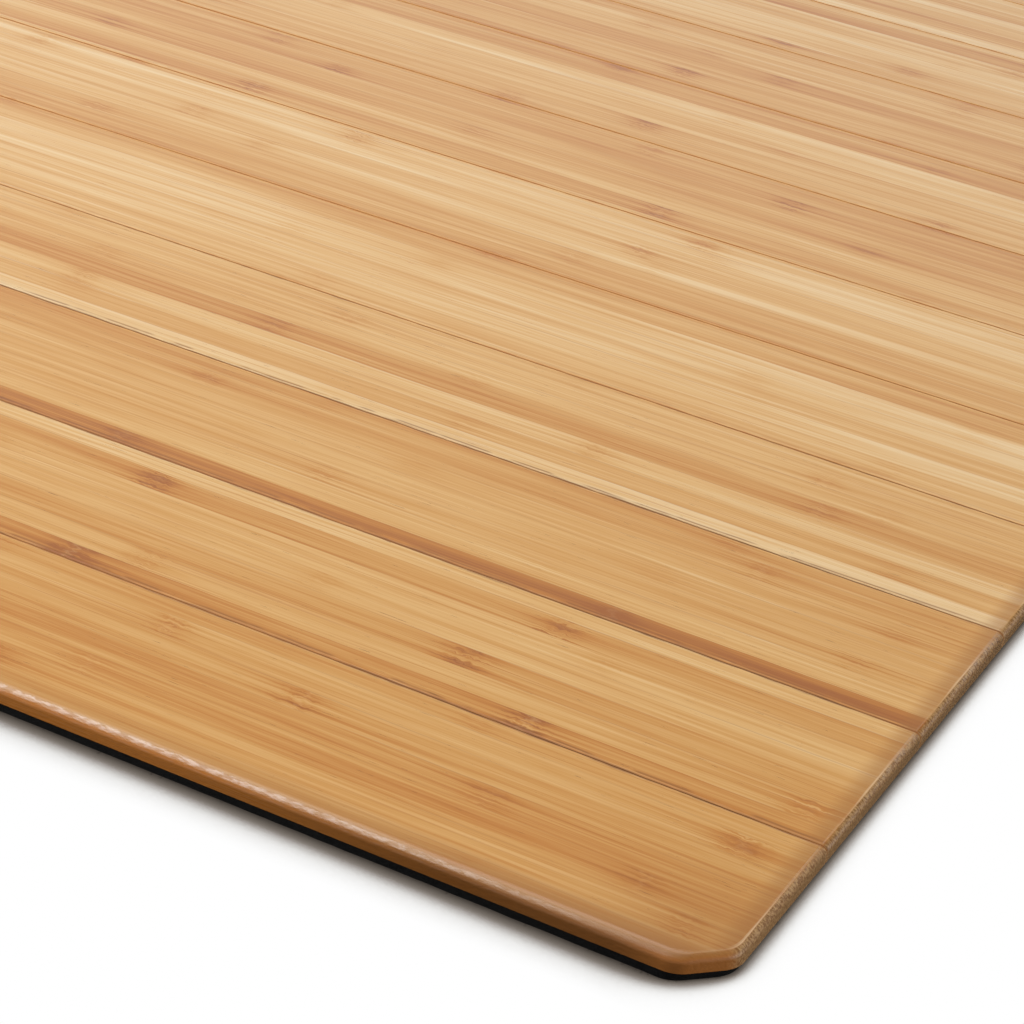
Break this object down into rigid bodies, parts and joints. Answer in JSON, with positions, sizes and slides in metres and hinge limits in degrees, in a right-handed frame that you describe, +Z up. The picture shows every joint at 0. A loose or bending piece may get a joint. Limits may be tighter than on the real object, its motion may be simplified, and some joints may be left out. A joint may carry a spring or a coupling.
{
  "type": "roll-up chair mat",
  "caption": "Flat floor mat of long bamboo slats glued side by side to a black felt backing, with a rounded-over edge and clipped corners; it rolls up slat by slat, felt side in.",
  "frame": {"origin": "on the floor, under the middle of the flat mat", "axes": "+X along the slats to the right, +Y across the slats from the front edge to the back edge, +Z up"},
  "size_m": [1.2192, 0.9144, 0.0055],
  "materials": {
    "bamboo": "natural honey bamboo, narrow side-pressed strips with long fine fibres and soft knuckles, satin clear lacquer",
    "felt": "matte black needle-punched felt with short loose fibres"
  },
  "bodies": {
    "slat_01": {"bamboo_slat_01": "bamboo", "felt_strip_01": "felt"},
    "slat_02": {"bamboo_slat_02": "bamboo", "felt_strip_02": "felt"},
    "slat_03": {"bamboo_slat_03": "bamboo", "felt_strip_03": "felt"},
    "slat_04": {"bamboo_slat_04": "bamboo", "felt_strip_04": "felt"},
    "slat_05": {"bamboo_slat_05": "bamboo", "felt_strip_05": "felt"},
    "slat_06": {"bamboo_slat_06": "bamboo", "felt_strip_06": "felt"},
    "slat_07": {"bamboo_slat_07": "bamboo", "felt_strip_07": "felt"},
    "slat_08": {"bamboo_slat_08": "bamboo", "felt_strip_08": "felt"},
    "slat_09": {"bamboo_slat_09": "bamboo", "felt_strip_09": "felt"},
    "slat_10": {"bamboo_slat_10": "bamboo", "felt_strip_10": "felt"},
    "slat_11": {"bamboo_slat_11": "bamboo", "felt_strip_11": "felt"},
    "slat_12": {"bamboo_slat_12": "bamboo", "felt_strip_12": "felt"},
    "slat_13": {"bamboo_slat_13": "bamboo", "felt_strip_13": "felt"},
    "slat_14": {"bamboo_slat_14": "bamboo", "felt_strip_14": "felt"},
    "slat_15": {"bamboo_slat_15": "bamboo", "felt_strip_15": "felt"},
    "slat_16": {"bamboo_slat_16": "bamboo", "felt_strip_16": "felt"},
    "slat_17": {"bamboo_slat_17": "bamboo", "felt_strip_17": "felt"},
    "slat_18": {"bamboo_slat_18": "bamboo", "felt_strip_18": "felt"}
  },
  "joints": [
    {"name": "roll_01_02", "type": "hinge", "parent": "slat_01", "child": "slat_02", "pos_m": [0, -0.4064, 0], "axis": [-1, 0, 0], "range_deg": [0, 60]},
    {"name": "roll_02_03", "type": "hinge", "parent": "slat_02", "child": "slat_03", "pos_m": [0, -0.3556, 0], "axis": [-1, 0, 0], "range_deg": [0, 57.7]},
    {"name": "roll_03_04", "type": "hinge", "parent": "slat_03", "child": "slat_04", "pos_m": [0, -0.3048, 0], "axis": [-1, 0, 0], "range_deg": [0, 55.6]},
    {"name": "roll_04_05", "type": "hinge", "parent": "slat_04", "child": "slat_05", "pos_m": [0, -0.254, 0], "axis": [-1, 0, 0], "range_deg": [0, 53.7]},
    {"name": "roll_05_06", "type": "hinge", "parent": "slat_05", "child": "slat_06", "pos_m": [0, -0.2032, 0], "axis": [-1, 0, 0], "range_deg": [0, 51.9]},
    {"name": "roll_06_07", "type": "hinge", "parent": "slat_06", "child": "slat_07", "pos_m": [0, -0.1524, 0], "axis": [-1, 0, 0], "range_deg": [0, 50.4]},
    {"name": "roll_07_08", "type": "hinge", "parent": "slat_07", "child": "slat_08", "pos_m": [0, -0.1016, 0], "axis": [-1, 0, 0], "range_deg": [0, 48.9]},
    {"name": "roll_08_09", "type": "hinge", "parent": "slat_08", "child": "slat_09", "pos_m": [0, -0.0508, 0], "axis": [-1, 0, 0], "range_deg": [0, 47.6]},
    {"name": "roll_09_10", "type": "hinge", "parent": "slat_09", "child": "slat_10", "pos_m": [0, 0, 0], "axis": [-1, 0, 0], "range_deg": [0, 46.4]},
    {"name": "roll_10_11", "type": "hinge", "parent": "slat_10", "child": "slat_11", "pos_m": [0, 0.0508, 0], "axis": [-1, 0, 0], "range_deg": [0, 45.2]},
    {"name": "roll_11_12", "type": "hinge", "parent": "slat_11", "child": "slat_12", "pos_m": [0, 0.1016, 0], "axis": [-1, 0, 0], "range_deg": [0, 44.2]},
    {"name": "roll_12_13", "type": "hinge", "parent": "slat_12", "child": "slat_13", "pos_m": [0, 0.1524, 0], "axis": [-1, 0, 0], "range_deg": [0, 43.2]},
    {"name": "roll_13_14", "type": "hinge", "parent": "slat_13", "child": "slat_14", "pos_m": [0, 0.2032, 0], "axis": [-1, 0, 0], "range_deg": [0, 42.2]},
    {"name": "roll_14_15", "type": "hinge", "parent": "slat_14", "child": "slat_15", "pos_m": [0, 0.254, 0], "axis": [-1, 0, 0], "range_deg": [0, 41.4]},
    {"name": "roll_15_16", "type": "hinge", "parent": "slat_15", "child": "slat_16", "pos_m": [0, 0.3048, 0], "axis": [-1, 0, 0], "range_deg": [0, 40.6]},
    {"name": "roll_16_17", "type": "hinge", "parent": "slat_16", "child": "slat_17", "pos_m": [0, 0.3556, 0], "axis": [-1, 0, 0], "range_deg": [0, 39.8]},
    {"name": "roll_17_18", "type": "hinge", "parent": "slat_17", "child": "slat_18", "pos_m": [0, 0.4064, 0], "axis": [-1, 0, 0], "range_deg": [0, 39]}
  ],
  "couplings": [
    {"joint": "roll_02_03", "follows": "roll_01_02", "ratio": 0.9607},
    {"joint": "roll_03_04", "follows": "roll_01_02", "ratio": 0.9255},
    {"joint": "roll_04_05", "follows": "roll_01_02", "ratio": 0.8938},
    {"joint": "roll_05_06", "follows": "roll_01_02", "ratio": 0.865},
    {"joint": "roll_06_07", "follows": "roll_01_02", "ratio": 0.8388},
    {"joint": "roll_07_08", "follows": "roll_01_02", "ratio": 0.8148},
    {"joint": "roll_08_09", "follows": "roll_01_02", "ratio": 0.7927},
    {"joint": "roll_09_10", "follows": "roll_01_02", "ratio": 0.7722},
    {"joint": "roll_10_11", "follows": "roll_01_02", "ratio": 0.7532},
    {"joint": "roll_11_12", "follows": "roll_01_02", "ratio": 0.7355},
    {"joint": "roll_12_13", "follows": "roll_01_02", "ratio": 0.7188},
    {"joint": "roll_13_14", "follows": "roll_01_02", "ratio": 0.7033},
    {"joint": "roll_14_15", "follows": "roll_01_02", "ratio": 0.6888},
    {"joint": "roll_15_16", "follows": "roll_01_02", "ratio": 0.6752},
    {"joint": "roll_16_17", "follows": "roll_01_02", "ratio": 0.6622},
    {"joint": "roll_17_18", "follows": "roll_01_02", "ratio": 0.65}
  ]
}
